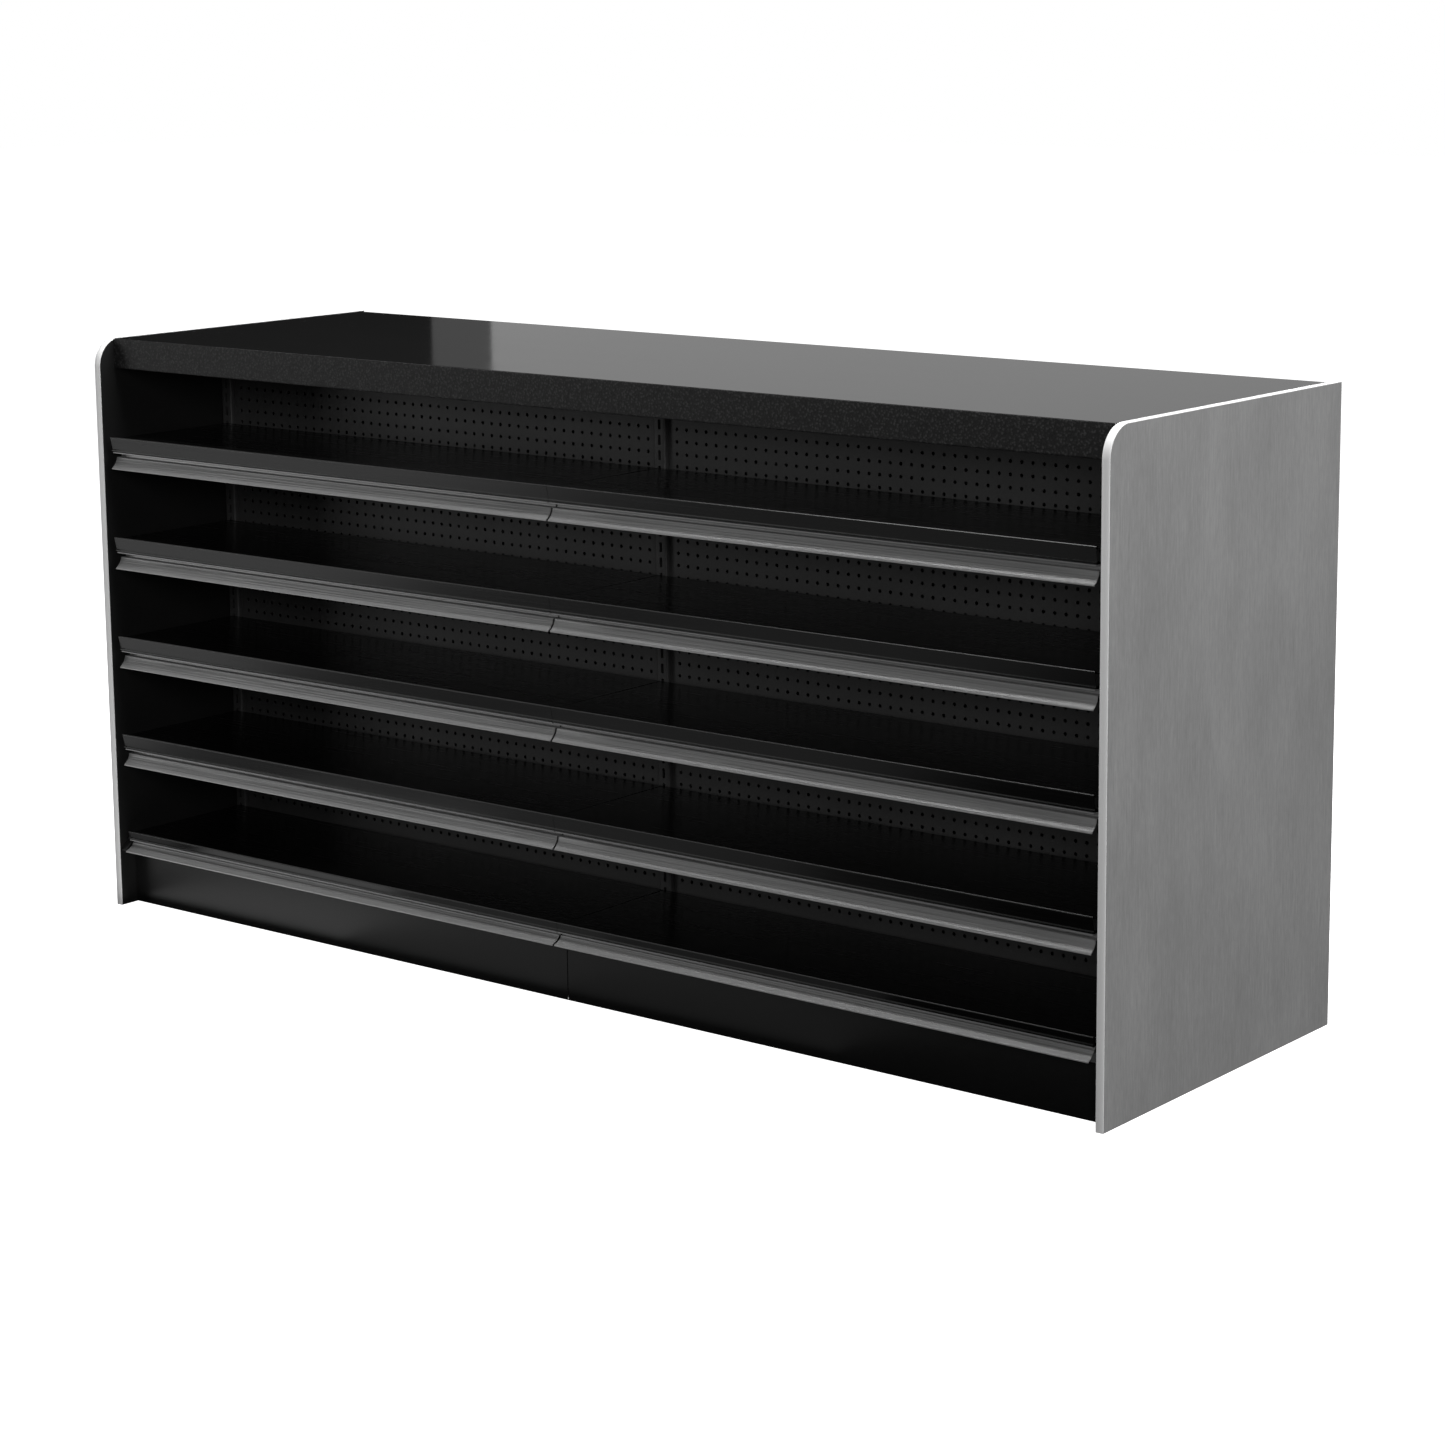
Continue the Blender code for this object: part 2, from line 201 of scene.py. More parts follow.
def size_of(tree, value):
    """A value without its sign."""
    return node(tree, "Math", {0: value}, operation="ABSOLUTE").outputs[0]


def brushed_laminate():
    """High-pressure laminate, grey and brushed upright outside, near black inside.

    The press plate leaves short upright scratches about 1 mm apart and 60 mm long, and slow cloudy bands.
    The inner half of the board's thickness shows black.
    """
    made, tree, shader = material("brushed_grey_laminate", 0.42)
    grain = noise(tree, (4, 1.6, 90), detail=4, roughness=0.65)
    fleck = noise(tree, (4, 5, 22), detail=3, roughness=0.7)
    cloud = noise(tree, (90, 110, 260), detail=2)
    mixed = sum_of(tree, sum_of(tree, grain, fleck, 0.6), cloud, 0.5)
    outside = tones(tree, span(tree, mixed, 0.8, 1.3, 0, 1), "858585", "8F8F8F", "9A9A9A")
    inside = tones(tree, fleck, "131313", "191919")
    away = size_of(tree, object_axes(tree)["X"])
    middle = sum(corner.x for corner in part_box("end_panel_right")) / 2
    is_outside = node(tree, "Math", {0: away, 1: middle}, operation="GREATER_THAN").outputs[0]
    colour = node(tree, "Mix", {"Factor": is_outside, "A": inside, "B": outside}, data_type="RGBA")
    set_colour(tree, shader, colour.outputs["Result"])
    set_roughness(tree, shader, span(tree, grain, 0.3, 0.7, 0.38, 0.52))
    raised(tree, shader, sum_of(tree, grain, fleck, 0.8), 0.12)
    return made


def edge_banding():
    """PVC edge banding, extruded and buffed: pale grey with a satin glow and faint lines along it."""
    made, tree, shader = material("pale_pvc_edge_banding", 0.38)
    line = noise(tree, (1.2, 40, 40), detail=3)
    set_colour(tree, shader, tones(tree, line, "F0F0F0", "F5F5F5", "FAFAFA"))
    set_roughness(tree, shader, span(tree, line, 0.3, 0.7, 0.33, 0.45))
    raised(tree, shader, line, 0.04)
    return made


def counter_laminate():
    """Black laminate from a satin-gloss press: long soft reflections, faintly rippled, with fine pores."""
    made, tree, shader = material("black_counter_laminate", 0.07, IOR=1.5)
    pore = noise(tree, (1.2, 1.2, 1.2), detail=2)
    smear = noise(tree, (260, 90, 200), detail=3)
    set_colour(tree, shader, tones(tree, pore, "1A1A1A", "242424"))
    set_roughness(tree, shader, span(tree, smear, 0.3, 0.7, 0.05, 0.09))
    raised(tree, shader, pore, 0.012)
    return made


def pebbled_vinyl():
    """Black vinyl-faced sheet, embossed with a pebble 5 mm across: dull, with pale specks painted on the
    crests as painted highlights.
    """
    made, tree, shader = material("pebbled_black_vinyl", 0.6)
    cells = node(tree, "TexVoronoi", {"Vector": stretched(tree, (5.5, 5.5, 5.5)), "Scale": 1.0})
    grit = noise(tree, (4.5, 4.5, 4.5), detail=3, roughness=0.6)
    crest = sum_of(tree, grit, cells.outputs["Distance"], -0.5)
    # Painted highlights: the crests are coloured paler, from 020202 up to 343434, where light would catch
    # them; the bump below is real.
    set_colour(tree, shader, tones(tree, span(tree, crest, 0.1, 0.44, 0, 1), "020202", "060606", "343434"))
    set_roughness(tree, shader, span(tree, grit, 0.3, 0.7, 0.5, 0.7))
    raised(tree, shader, crest, 0.9)
    return made


def powder_coat(name, low, high, roughness):
    """Polyester powder coat, cured to a fine grain of about 1 mm, drawn at 2 mm so that it shows."""
    made, tree, shader = material(name, roughness)
    grain = noise(tree, (2.0, 2.0, 2.0), detail=3, roughness=0.6)
    patch = noise(tree, (180, 180, 180), detail=2)
    tone = sum_of(tree, grain, patch, 0.5)
    set_colour(tree, shader, tones(tree, span(tree, tone, 0.5, 1.0, 0, 1), low, high))
    set_roughness(tree, shader, span(tree, grain, 0.3, 0.7, roughness - 0.06, roughness + 0.08))
    raised(tree, shader, grain, 0.07)
    return made


def tray_enamel():
    """Black stoving enamel on rolled steel: glossy, with slight orange peel and faint rolling lines."""
    made, tree, shader = material("gloss_black_enamel", 0.2, IOR=1.5)
    peel = noise(tree, (14, 14, 14), detail=1)
    rolled = noise(tree, (320, 4.0, 4.0), detail=3, roughness=0.55)
    set_colour(tree, shader, tones(tree, rolled, "090909", "0C0C0C"))
    set_roughness(tree, shader, span(tree, rolled, 0.3, 0.7, 0.22, 0.28))
    raised(tree, shader, peel, 0.01)
    return made


def brushed_aluminium():
    """Satin-anodised aluminium extrusion, brushed along its length: soft streaks that follow the rail."""
    made, tree, shader = material("satin_grey_aluminium", 0.42, 0.45)
    streak = noise(tree, (420, 0.9, 0.9), detail=4, roughness=0.6)
    set_colour(tree, shader, tones(tree, streak, "848484", "969696", "A6A6A6"))
    set_roughness(tree, shader, span(tree, streak, 0.3, 0.7, 0.36, 0.5))
    raised(tree, shader, streak, 0.03)
    return made


def zinc_plate():
    """Zinc-plated steel, passivated: cool grey with a cloudy spangle and a few duller rubs."""
    made, tree, shader = material("zinc_plated_steel", 0.35, 1.0)
    spangle = node(tree, "TexVoronoi", {"Vector": stretched(tree, (3, 3, 3)), "Scale": 1.0})
    cloud = noise(tree, (9, 9, 9), detail=3)
    tone = sum_of(tree, cloud, spangle.outputs["Distance"], 0.3)
    set_colour(tree, shader, tones(tree, span(tree, tone, 0.3, 0.9, 0, 1), "8E9296", "B4B8BA"))
    set_roughness(tree, shader, span(tree, tone, 0.3, 0.9, 0.28, 0.45))
    raised(tree, shader, cloud, 0.03)
    return made


def matt_floor():
    """A pale matt studio floor with a barely mottled tone, bright everywhere but under the unit.

    The glow begins within the end panels' thickness at the sides, a little behind the kick plates' faces
    at the front, and at the rear panels.
    """
    made, tree, shader = material("pale_studio_floor", 0.9)
    shader.inputs["Emission Color"].default_value = (1, 1, 1, 1)
    axes = object_axes(tree)
    middle = 0.03  # of the covered floor, from front to rear
    from_middle = node(tree, "Math", {0: axes["Y"], 1: middle}, operation="SUBTRACT").outputs[0]
    beside = span(tree, size_of(tree, axes["X"]), 1.262, 1.276, 0, GLOW)
    before = span(tree, size_of(tree, from_middle), 0.365, 0.38, 0, GLOW)
    glow = node(tree, "Math", {0: beside, 1: before}, operation="MAXIMUM").outputs[0]
    tree.links.new(glow, shader.inputs["Emission Strength"])
    set_colour(tree, shader, tones(tree, noise(tree, (900, 900, 900)), "F2F2F2", "F6F6F6"))
    return made


FINISHES = {
    "laminate": brushed_laminate(),
    "edge_band": edge_banding(),
    "counter": counter_laminate(),
    "apron": pebbled_vinyl(),
    "frame": powder_coat("black_powder_coat", "080808", "0D0D0D", 0.4),
    "back": powder_coat("charcoal_powder_coat", "343434", "404040", 0.55),
    "tray": tray_enamel(),
    "channel": brushed_aluminium(),
    "zinc": zinc_plate(),
    "floor": matt_floor(),
}


# Shapes -----------------------------------------------------------------------------------------------


def unit(vectors):
    """Each vector divided by its length."""
    return vectors / np.linalg.norm(vectors, axis=-1, keepdims=True)


def rounded(path, radius, steps=5):
    """An open path in a plane with each inner corner turned into an arc that touches both its sides.

    The arc's centre lies on the corner's bisector, radius / sin(half the corner) away, and its points
    are sin((1 - s) turn) first + sin(s turn) last, over sin(turn), with s from 0 to 1. The radius is one
    number, or one for each corner.
    """
    path = np.asarray(path, float)
    radius = np.broadcast_to(radius, len(path) - 2)[:, None]
    corner = path[1:-1]
    before = unit(path[:-2] - corner)
    after = unit(path[2:] - corner)
    half = np.arccos(np.clip((before * after).sum(1), -1, 1))[:, None] / 2
    centre = corner + unit(before + after) * radius / np.sin(half)
    reach = radius / np.tan(half)
    first = corner + before * reach - centre
    last = corner + after * reach - centre
    turn = (math.pi - 2 * half)[:, None]
    share = np.linspace(0, 1, steps + 1)[None, :, None]
    swing = np.sin((1 - share) * turn) * first[:, None] + np.sin(share * turn) * last[:, None]
    arcs = centre[:, None] + swing / np.sin(turn)
    return np.concatenate([path[:1], arcs.reshape(-1, 2), path[-1:]])


def grid_faces(rows, columns, start=0, closed=False):
    """The quads of a grid of points, row by row. A closed grid joins each row's last point to its first."""
    index = start + np.arange(rows * columns).reshape(rows, columns)
    if closed:
        index = np.concatenate([index, index[:, :1]], axis=1)
    corners = (index[:-1, :-1], index[1:, :-1], index[1:, 1:], index[:-1, 1:])
    return np.stack(corners, axis=-1).reshape(-1, 4)


def keep_rims_crisp(mesh):
    """Mark as sharp every edge that has only one face, so that a hole's rim isn't shaded round."""
    of_corner = np.zeros(len(mesh.loops), np.int32)
    mesh.loops.foreach_get("edge_index", of_corner)
    is_sharp = np.zeros(len(mesh.edges), bool)
    mesh.edges.foreach_get("use_edge_sharp", is_sharp)
    is_sharp |= np.bincount(of_corner, minlength=len(mesh.edges)) == 1
    mesh.edges.foreach_set("use_edge_sharp", is_sharp)


def piece(name, points, faces, finish, body, node_name, sharp=35):
    """A mesh object at the origin that rides on a body and stands for a CAD node.

    Its slot is its finish. Edges that turn by more than sharp degrees stay crisp.
    """
    mesh = bpy.data.meshes.new(name)
    mesh.from_pydata(points.tolist(), [], [list(face) for face in faces])
    bm = bmesh.new()
    bm.from_mesh(mesh)
    bmesh.ops.remove_doubles(bm, verts=bm.verts, dist=2e-6)
    bmesh.ops.recalc_face_normals(bm, faces=bm.faces)
    bm.to_mesh(mesh)
    bm.free()
    mesh.shade_smooth()
    mesh.set_sharp_from_angle(angle=math.radians(sharp))
    keep_rims_crisp(mesh)
    mesh.materials.append(FINISHES[finish])
    made = bpy.data.objects.new(name, mesh)
    bpy.context.scene.collection.objects.link(made)
    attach(made, body)
    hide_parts(node_name)
    return made


def thicken(obj, thickness, edge=0.0):
    """Give a sheet its thickness, half on each side, and break its cut edges."""
    wall = obj.modifiers.new("wall", "SOLIDIFY")
    wall.thickness = thickness
    wall.offset = 0
    wall.use_even_offset = True
    if edge:
        soften(obj, edge)


def soften(obj, width):
    """Round an object's sharp edges."""
    bevel = obj.modifiers.new("edges", "BEVEL")
    bevel.width = width
    bevel.segments = 2
    bevel.limit_method = "ANGLE"
    bevel.angle_limit = math.radians(50)


def along_x(name, path, left, right, finish, body, node_name, edge=ARRIS):
    """A folded sheet: its (y, z) section carried from left to right, which may differ along the section."""
    left, right = np.broadcast_to(left, len(path)), np.broadcast_to(right, len(path))
    share = np.linspace(0, 1, 9)[:, None]
    across = left + share * (right - left)
    section = np.broadcast_to(path, (len(share), *path.shape))
    points = np.concatenate([across[..., None], section], axis=2).reshape(-1, 3)
    faces = grid_faces(len(share), len(path))
    thicken(piece(name, points, faces, finish, body, node_name), SHEET, edge)


def upright_grid(path, heights):
    """An (x, y) path repeated at each height, as a grid of points."""
    grid = np.empty((len(heights), len(path), 3))
    grid[..., :2] = path
    grid[..., 2] = heights[:, None]
    return grid.reshape(-1, 3)


# Punched sheets


def perimeter():
    """Points round a square from -1 to 1, its corners among them, and a hole's directions for them."""
    side = np.array([-1, -1 / 3, 1 / 3])
    one = np.ones(3)
    square = np.concatenate([
        np.stack([side, -one], 1),
        np.stack([one, side], 1),
        np.stack([-side, one], 1),
        np.stack([-one, -side], 1),
    ])
    angle = np.radians(-135 + 360 / RING * np.arange(RING))
    return square, np.stack([np.cos(angle), np.sin(angle)], 1)


def punched(edges_u, edges_v, centres_u, centres_v, core, radius):
    """A flat lattice of cells, each with a ring of quads between its border and its hole.

    A border point is the cell's middle plus half its size times a point of the square. A hole's point is
    its centre plus the core, signed by direction, plus the radius times the direction, so a core of zero
    is a circle, and any other core is a slot with rounded ends. Returns (u, v) points and quads.
    """
    square, direction = perimeter()
    u, v = np.meshgrid(np.arange(len(centres_u)), np.arange(len(centres_v)), indexing="ij")
    u, v = u.reshape(-1), v.reshape(-1)
    low = np.stack([edges_u[u], edges_v[v]], 1)
    high = np.stack([edges_u[u + 1], edges_v[v + 1]], 1)
    border = (low + high)[:, None] / 2 + (high - low)[:, None] / 2 * square
    middle = np.stack([centres_u[u], centres_v[v]], 1)[:, None]
    hole = middle + np.sign(direction) * np.asarray(core) + radius * direction
    points = np.concatenate([border, hole], axis=1).reshape(-1, 2)
    ring = np.arange(RING)
    beyond = (ring + 1) % RING
    quads = np.stack([ring, beyond, beyond + RING, ring + RING], axis=1)
    faces = quads[None] + 2 * RING * np.arange(len(u))[:, None, None]
    return points, faces.reshape(-1, 4)


def lattice_lines(edges):
    """Where the border points of a lattice lie along one direction: every cell edge, and its thirds."""
    thirds = edges[:-1, None] + np.diff(edges)[:, None] * np.array([0, 1 / 3, 2 / 3])
    return np.append(thirds.reshape(-1), edges[-1])


def cell_edges(first, middles, last):
    """Where cells that hold the given middles meet, with the sheet's own two edges."""
    return np.concatenate([[first], (middles[1:] + middles[:-1]) / 2, [last]])


def back_panels():
    """Perforated steel back sheets, folded back at both sides, with a square grid of round holes."""
    for side in SIDES:
        name = f"perforated_back_panel_{side}"
        low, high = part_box(name)
        face = low.y + SHEET / 2
        left, right = low.x + SHEET / 2, high.x - SHEET / 2
        columns = (low.x + high.x) / 2 + HOLE_PITCH * (np.arange(HOLE_COLUMNS) - (HOLE_COLUMNS - 1) / 2)
        rows = HOLE_DATUM + HOLE_PITCH * np.arange(HOLE_ROWS[0], HOLE_ROWS[1] + 1)
        edges_u = cell_edges(left + BEND, columns, right - BEND)
        edges_v = cell_edges(low.z, rows, high.z)
        flat, faces = punched(edges_u, edges_v, columns, rows, (0, 0), HOLE_RADIUS)
        points = [np.insert(flat, 1, face, axis=1)]
        faces = [faces]
        heights = lattice_lines(edges_v)
        for edge, inward in ((left, 1), (right, -1)):
            path = rounded([(edge + inward * BEND, face), (edge, face), (edge, high.y)], BEND)
            faces.append(grid_faces(len(heights), len(path), sum(map(len, points))))
            points.append(upright_grid(path, heights))
        points, faces = np.concatenate(points), np.concatenate(faces)
        thicken(piece(name + "_sheet", points, faces, "back", "carcass", name), SHEET)


def uprights():
    """Rectangular tubes with one column of slots, rounded at their corners."""
    for post in POSTS:
        name = f"upright_{post}"
        low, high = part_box(name)
        left, right = low.x + TUBE_WALL / 2, high.x - TUBE_WALL / 2
        front, back = low.y + TUBE_WALL / 2, high.y - TUBE_WALL / 2
        middles = SLOT_DATUM + SLOT_PITCH * np.arange(SLOT_NUMBERS[0], SLOT_NUMBERS[1] + 1)
        edges_u = np.array([left + TUBE_CORNER, right - TUBE_CORNER])
        edges_v = cell_edges(low.z, middles, high.z)
        centre = np.array([(left + right) / 2])
        core = (SLOT_WIDTH / 2 - SLOT_CORNER, SLOT_HEIGHT / 2 - SLOT_CORNER)
        flat, faces = punched(edges_u, edges_v, centre, middles, core, SLOT_CORNER)
        heights = lattice_lines(edges_v)
        path = [(edges_u[0], front), (left, front), (left, back)]
        path += [(right, back), (right, front), (edges_u[1], front)]
        path = rounded(path, TUBE_CORNER)
        points = np.concatenate([np.insert(flat, 1, front, axis=1), upright_grid(path, heights)])
        faces = np.concatenate([faces, grid_faces(len(heights), len(path), len(flat))])
        thicken(piece(name + "_tube", points, faces, "back", "carcass", name), TUBE_WALL)


# Folded sheets


def tray_section(top, rear, rear_bottom, drop, shift):
    """A tray's middle line: rear flange, deck, low lip, leaning face and return, with rounded bends.

    The lip's top is a narrow slope towards the front, and the face ends in a small ledge. The foot is where
    the leaning face would end without its ledge.
    """
    lip = FRONT + LIP_SETBACK + shift
    foot = lip + NOSE_LEAN * drop
    deck, bottom = top - LIP_HEIGHT, top - drop
    ledge = 4.4 * MM
    corners = [
        (rear, rear_bottom),
        (rear, deck),
        (lip + 7.4 * MM, deck),
        (lip + 2.4 * MM, top - 0.6 * MM),
        (lip, top - 3.2 * MM),
        (foot - NOSE_LEAN * ledge, bottom + ledge),
        (foot - 3.0 * MM, bottom + 2.0 * MM),
        (foot - 2.6 * MM, bottom),
        (foot + 18 * MM, bottom),
    ]
    tight = 0.7 * MM
    return rounded(corners, np.array([BEND, BEND, BEND, tight, tight, tight, 0.6 * MM]))


def channel_section(low, high, upper_lip, groove):
    """A price channel's middle line: a small upper lip, a ticket groove of some depth, then a flare.

    The upper lip is set back from the front, and the groove goes in behind the flare's top. The flare is a
    parabola. With t from 0 to 1, the depth is deepest - reach t^2 and the height falls in proportion to t.
    The lower lip turns down at its front.
    """
    tall = high.z - low.z - SHEET
    top = high.z - SHEET / 2
    front, deepest = low.y + SHEET / 2, high.y - SHEET / 2
    groove_share = 0.36
    middle = top - groove_share * tall
    t = np.linspace(0, 1, 17)
    flare = np.stack([deepest - (deepest - front) * t**2, middle - (1 - groove_share) * tall * t], axis=1)
    lip, back = FRONT + upper_lip, deepest + groove
    start = np.array([(lip, top - 1.9 * MM), (lip, top), (back, top), (back, middle)])
    end = flare[-1] - np.array([(0.8 * MM, 0.5 * MM), (1.2 * MM, 2.4 * MM)])
    path = np.concatenate([start, flare, end])
    radius = np.full(len(path) - 2, 0.05 * MM)
    radius[:len(start)] = 0.7 * MM
    radius[-1] = 0.5 * MM
    return rounded(path, radius, steps=3)


def shelves(side):
    """One bay's enamelled trays and price channels, drawn with their bends. Level 0 is the base deck."""
    for level in (*LEVELS, 0):
        if level:
            body = f"shelf_{side}_{level}"
            tray, rail = f"tray_{side}_{level}", f"price_channel_{side}_{level}"
            shift, upper_lip, groove = 0, 13.6 * MM, 14 * MM
            nose_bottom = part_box(rail)[1].z + 1.6 * MM
        else:
            body = f"base_{side}"
            tray, rail = f"base_deck_{side}", f"base_price_channel_{side}"
            shift, upper_lip, groove = 5 * MM, 15.6 * MM, 5 * MM
            nose_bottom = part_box("base_leg_centre")[1].z + 1 * MM
        low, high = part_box(tray)
        path = tray_section(high.z, high.y - SHEET / 2, low.z, high.z - nose_bottom, shift)
        wider = np.where(path[:, 0] < FRONT + NOSE_STEPS, NOSE_OVERHANG, 0)
        along_x(tray + "_sheet", path, low.x - wider, high.x + wider, "tray", body, tray)
        low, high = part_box(rail)
        path = channel_section(low, high, upper_lip, groove)
        along_x(rail + "_rail", path, low.x, high.x, "channel", body, rail, edge=0.45 * MM)


def kick_plate(side):
    """A plain sheet, folded back along its top and bottom."""
    name = f"kick_plate_{side}"
    low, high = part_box(name)
    face, bottom, top = low.y + SHEET / 2, low.z + SHEET / 2, high.z - SHEET / 2
    path = rounded([(high.y, top), (face, top), (face, bottom), (high.y, bottom)], BEND)
    along_x(name + "_sheet", path, low.x, high.x, "frame", f"kick_{side}", name)


def apron():
    """The vinyl-faced front of the countertop, folded under and up again behind."""
    name = "front_apron"
    low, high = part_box(name)
    face, rear = low.y + SHEET / 2, high.y - SHEET / 2
    bottom = low.z + SHEET / 2
    path = [(face, high.z - SHEET / 2), (face, bottom), (rear, bottom), (rear, bottom + 12 * MM)]
    along_x(name + "_sheet", rounded(path, 3 * MM), low.x, high.x, "apron", "carcass", name)


def edge_bands():
    """Edge banding round each end panel: a flat strip with softened arrises, carried round the outline.

    Across the strip, share says how far a point lies from the outer face, 0, to the inner face, 1.
    """
    angle = np.radians(np.linspace(180, 90, 33))
    arc = np.stack([np.cos(angle), np.sin(angle)], axis=1)
    soft = 0.7 * MM
    shoulder = 0.2 + 0.3 * soft / EDGE_BAND
    share = np.array([1, shoulder, 0, 0, shoulder, 1])[:, None]
    for side in SIDES:
        name = f"edge_band_{side}"
        low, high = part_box(name)
        middle = np.array([low.y + CORNER_RADIUS, high.z - CORNER_RADIUS])
        outlines = []
        for inset in (0, EDGE_BAND):
            front, back, top = low.y + inset, high.y - inset, high.z - inset
            corner = middle + (CORNER_RADIUS - inset) * arc
            outlines.append(np.concatenate([[(front, low.z)], corner, [(back, top), (back, low.z)]]))
        outer, inner = outlines
        section = outer[:, None] + (inner - outer)[:, None] * share
        across = np.array([low.x, low.x, low.x + soft, high.x - soft, high.x, high.x])
        grid = np.concatenate([np.broadcast_to(across[:, None], (*section.shape[:2], 1)), section], axis=2)
        rows, columns = grid.shape[:2]
        faces = list(grid_faces(rows, columns, closed=True))
        faces += [np.arange(columns), np.arange(columns) + (rows - 1) * columns]
        piece(name + "_strip", grid.reshape(-1, 3), faces, "edge_band", "carcass", name, sharp=50)


# Turned pieces


def foot_profile(angle):
    """A levelling foot's heights, and its radius at each height and angle, in millimetres.

    The base's radius depends on height alone. On the hexagon it is the flat's distance over the cosine of
    the angle from the flat's middle, and on the stem it is the core's radius plus a ridge that climbs one
    pitch for each turn.
    """
    base = np.array([(0, 0), (13.4, 0), (13.8, 0.5), (13.8, 3.6), (13.0, 5.6), (9.6, 7.2), (6.2, 7.5)])
    from_flat = (angle + math.radians(30)) % math.radians(60) - math.radians(30)
    hexagon = 7.6 / np.cos(from_flat)
    stem = np.arange(14.25, 44.9, 0.25)
    turn = (stem[:, None] / THREAD_PITCH - angle / (2 * math.pi)) % 1
    thread = 4.2 + 0.8 * (1 - np.abs(2 * turn - 1))
    heights = np.concatenate([base[:, 1], [7.5, 13.4, 14.0, 14.0], stem, [45, 45]])
    level = np.ones_like(angle)
    rings = [*(radius * level for radius in base[:, 0]), hexagon, hexagon, 7.4 * level, 4.6 * level]
    return heights, np.stack([*rings, *thread, 3.9 * level, 0 * level])


def levelling_feet():
    """Turned feet: a dished base, a hexagon collar and a threaded stem."""
    angle = np.radians(np.arange(0, 360, 5))
    heights, radius = foot_profile(angle)
    upward = np.broadcast_to(heights[:, None], radius.shape)
    shape = np.stack([radius * np.cos(angle), radius * np.sin(angle), upward], axis=2).reshape(-1, 3) * MM
    faces = grid_faces(len(heights), len(angle), closed=True)
    for post in POSTS:
        for place in ("front", "rear"):
            name = f"levelling_foot_{post}_{place}"
            low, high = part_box(name)
            stand = np.array([(low.x + high.x) / 2, (low.y + high.y) / 2, low.z])
            piece(name + "_turned", shape + stand, faces, "zinc", f"foot_{post}_{place}", name, sharp=40)


def rear_panels():
    """Plain sheets that close the rear, folded forwards at both sides."""
    for side in SIDES:
        name = f"rear_closing_panel_{side}"
        low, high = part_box(name)
        face = high.y - SHEET / 2
        left, right = low.x + SHEET / 2, high.x - SHEET / 2
        path = rounded([(left, low.y), (left, face), (right, face), (right, low.y)], BEND)
        points = upright_grid(path, np.array([low.z, high.z]))
        faces = grid_faces(2, len(path))
        thicken(piece(name + "_sheet", points, faces, "frame", "carcass", name), SHEET, ARRIS)


# Pieces that keep their CAD shape


def softened_copies():
    """The countertop, legs and brackets keep their shape, with their edges eased on a copy of each."""
    eased = {"countertop": ("counter", 1.8 * MM)}
    for post in POSTS:
        eased[f"base_leg_{post}"] = ("frame", 0.5 * MM)
    for side in SIDES:
        for level in LEVELS:
            for end in SIDES:
                eased[f"bracket_{side}_{level}_{end}"] = ("frame", 0.25 * MM)
    for name, (finish, width) in eased.items():
        source = frame["nodes"][name]
        mesh = source.data.copy()
        mesh.materials.clear()
        mesh.materials.append(FINISHES[finish])
        bm = bmesh.new()
        bm.from_mesh(mesh)
        bmesh.ops.remove_doubles(bm, verts=bm.verts, dist=1e-6)
        bmesh.ops.dissolve_limit(bm, angle_limit=0.01, verts=bm.verts, edges=bm.edges)
        bm.to_mesh(mesh)
        bm.free()
        made = bpy.data.objects.new(name + "_eased", mesh)
        bpy.context.scene.collection.objects.link(made)
        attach(made, source["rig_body"])
        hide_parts(name)
        soften(made, width)


def kept_nodes():
    """The end panels keep their CAD meshes and get their laminate."""
    for side in SIDES:
        mesh = frame["nodes"][f"end_panel_{side}"].data
        mesh.materials.clear()
        mesh.materials.append(FINISHES["laminate"])


# Studio -----------------------------------------------------------------------------------------------


SOFTBOXES = (  # name, place, the point it faces, its two sizes, and its brightness
    ("left_top", (-3.2, -1.6, 4.0), (0, -0.4, 0.7), (3.0, 3.0), 0.7),
    ("far_card_left", (-3.3, -2.07, 0.01), (-3.3, -2.07, 3.0), (3.0, 2.54), 0.75),
    ("far_card_middle", (-1.35, -2.07, 0.01), (-1.35, -2.07, 3.0), (0.9, 2.54), 0.16),
    ("far_card_right", (-0.35, -2.07, 0.01), (-0.35, -2.07, 3.0), (1.1, 2.54), 0.22),
    ("near_card_outside", (-1.75, -0.6, 0.01), (-1.75, -0.6, 3.0), (0.84, 0.39), 0.3),
    ("near_card_left", (-0.95, -0.59, 0.01), (-0.95, -0.59, 3.0), (0.6, 0.42), 0.8),
    ("near_card_middle", (-0.35, -0.59, 0.01), (-0.35, -0.59, 3.0), (0.6, 0.42), 0.25),
    ("near_card_right", (0.3, -0.59, 0.01), (0.3, -0.59, 3.0), (0.7, 0.42), 0.15),
    ("front_left", (-6.5, -5.0, 1.4), (0, 0, 0.7), (2.6, 2.0), 3.6),
    ("right", (6.0, 0.5, 3.2), (1.2, 0, 0.9), (3.0, 3.0), 6.8),
    ("front_right", (5.5, -6.5, 3.2), (0, 0, 0.7), (3.0, 2.6), 9.6),
    ("overhead", (0, 0.3, 5.0), (0, 0.3, 0), (5.0, 3.0), 7.0),
    ("behind", (-0.6, 4.0, 1.95), (-0.6, 0, 1.95), (7.2, 2.1), 0.37),
    ("behind_left", (-4.35, 4.0, 1.95), (-4.35, 0, 1.95), (0.3, 2.1), 0.09),
)


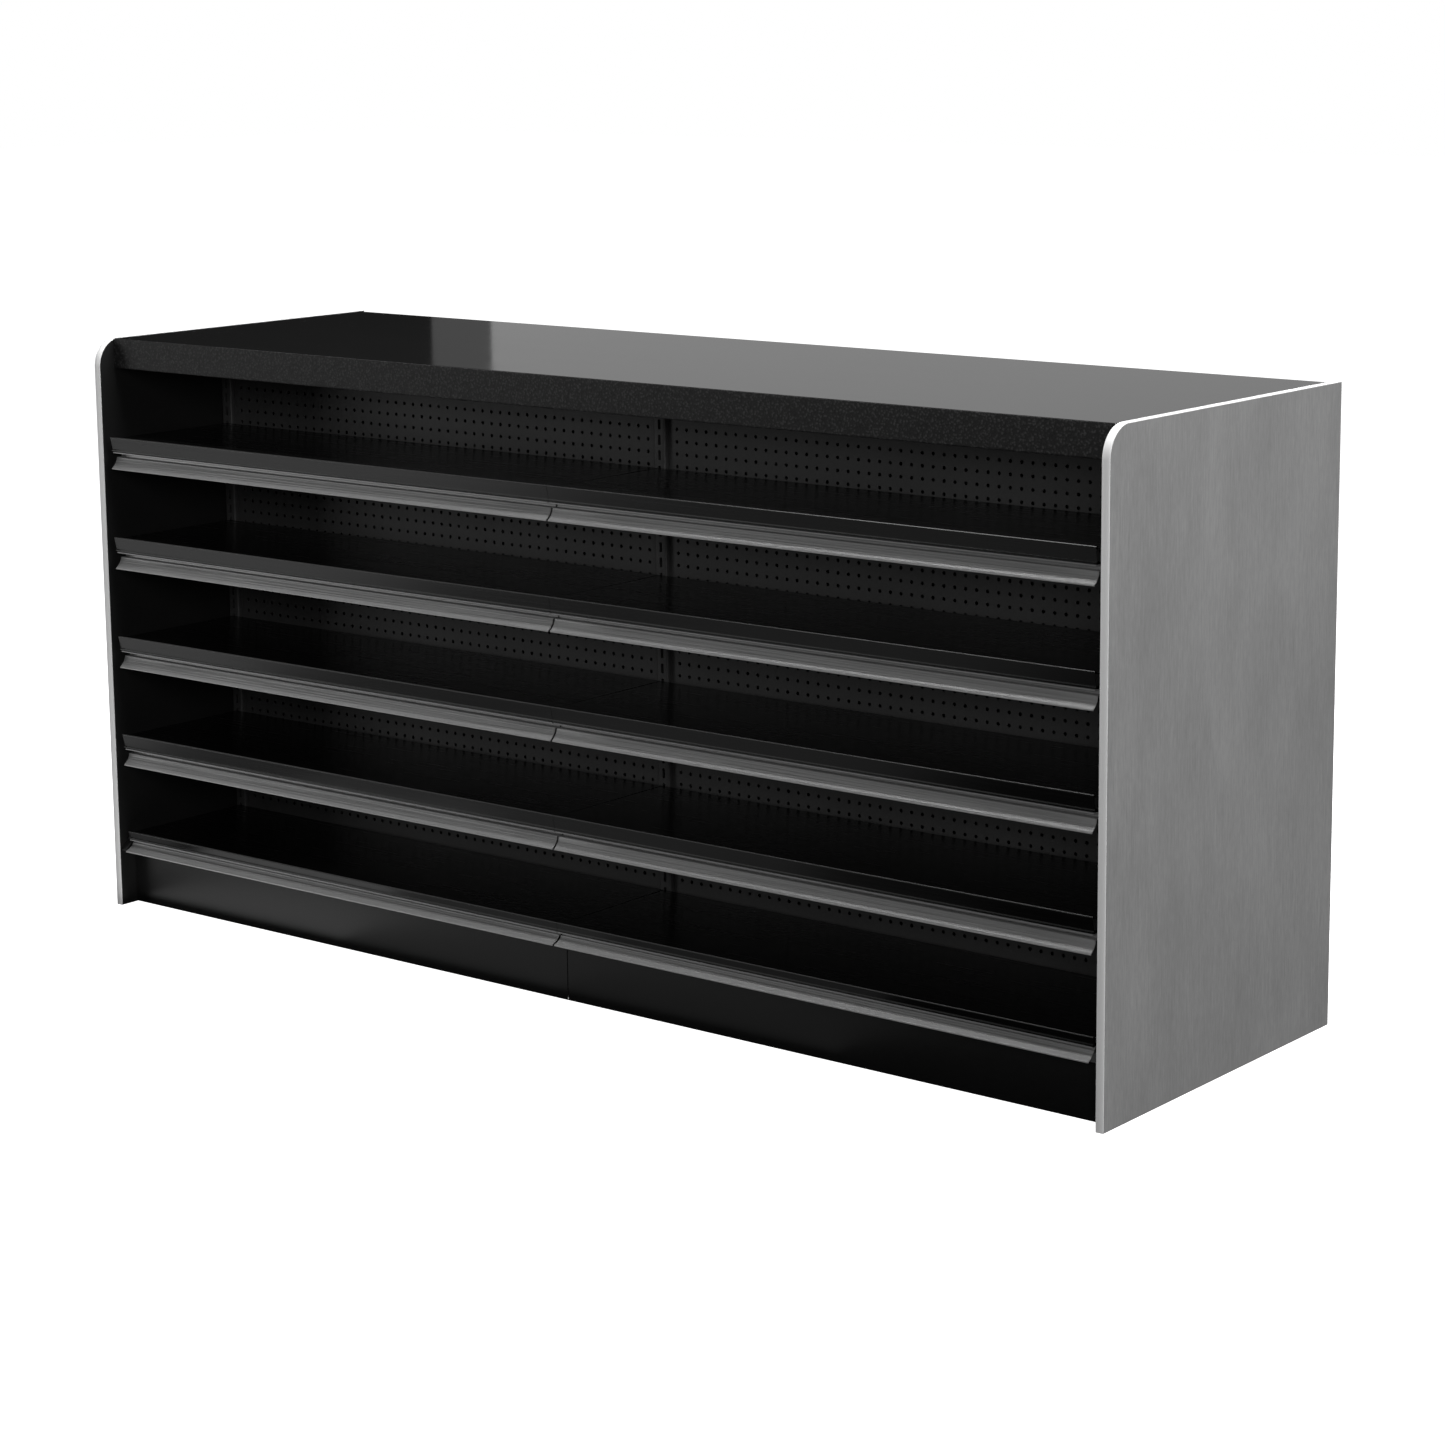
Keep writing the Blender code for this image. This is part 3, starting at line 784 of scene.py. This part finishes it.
def camera():
    """A long lens from the front right corner, a little above the countertop."""
    data = bpy.data.cameras.new("camera")
    data.sensor_width = 36
    data.lens = 85.41
    data.shift_x = -0.0398
    data.shift_y = -0.0848
    made = bpy.data.objects.new("camera", data)
    bpy.context.scene.collection.objects.link(made)
    place = Matrix.Translation((4.3660, -5.2548, 1.9807))
    yaw, pitch, roll = -0.66313, -0.17783, -0.00704
    turn = Matrix.Rotation(-yaw, 4, "Z") @ Matrix.Rotation(math.pi / 2 + pitch, 4, "X")
    made.matrix_world = place @ turn @ Matrix.Rotation(roll, 4, "Z")
    bpy.context.scene.camera = made


def softbox(name, place, target, size, brightness):
    """A rectangular light turned to face a point, with a given radiance, and not seen itself."""
    data = bpy.data.lights.new(name, "AREA")
    data.shape = "RECTANGLE"
    data.size, data.size_y = size
    data.energy = brightness * math.pi * size[0] * size[1]
    made = bpy.data.objects.new(name, data)
    made.location = place
    made.rotation_euler = (Vector(place) - Vector(target)).to_track_quat("Z", "Y").to_euler()
    made.visible_camera = False
    bpy.context.scene.collection.objects.link(made)


def studio():
    """A pale floor and background that light nothing themselves, and softboxes round the unit."""
    reach = 30.0
    level = -0.5 * MM
    corners = [(-reach, -reach, level), (reach, -reach, level), (reach, reach, level), (-reach, reach, level)]
    mesh = bpy.data.meshes.new("studio_floor")
    mesh.from_pydata(corners, [], [(0, 1, 2, 3)])
    mesh.materials.append(FINISHES["floor"])
    floor = bpy.data.objects.new("studio_floor", mesh)
    floor.visible_diffuse = False
    floor.visible_glossy = False
    bpy.context.scene.collection.objects.link(floor)
    world = bpy.data.worlds.new("studio")
    bpy.context.scene.world = world
    world.use_nodes = True
    backdrop = world.node_tree.nodes["Background"]
    backdrop.inputs["Color"].default_value = (1, 1, 1, 1)
    backdrop.inputs["Strength"].default_value = 1.0
    world.cycles_visibility.diffuse = False
    world.cycles_visibility.glossy = False
    bpy.context.scene.view_settings.view_transform = "Standard"
    for light in SOFTBOXES:
        softbox(*light)


camera()
studio()
kept_nodes()
softened_copies()
edge_bands()
apron()
back_panels()
uprights()
rear_panels()
for bay in SIDES:
    shelves(bay)
    kick_plate(bay)
levelling_feet()
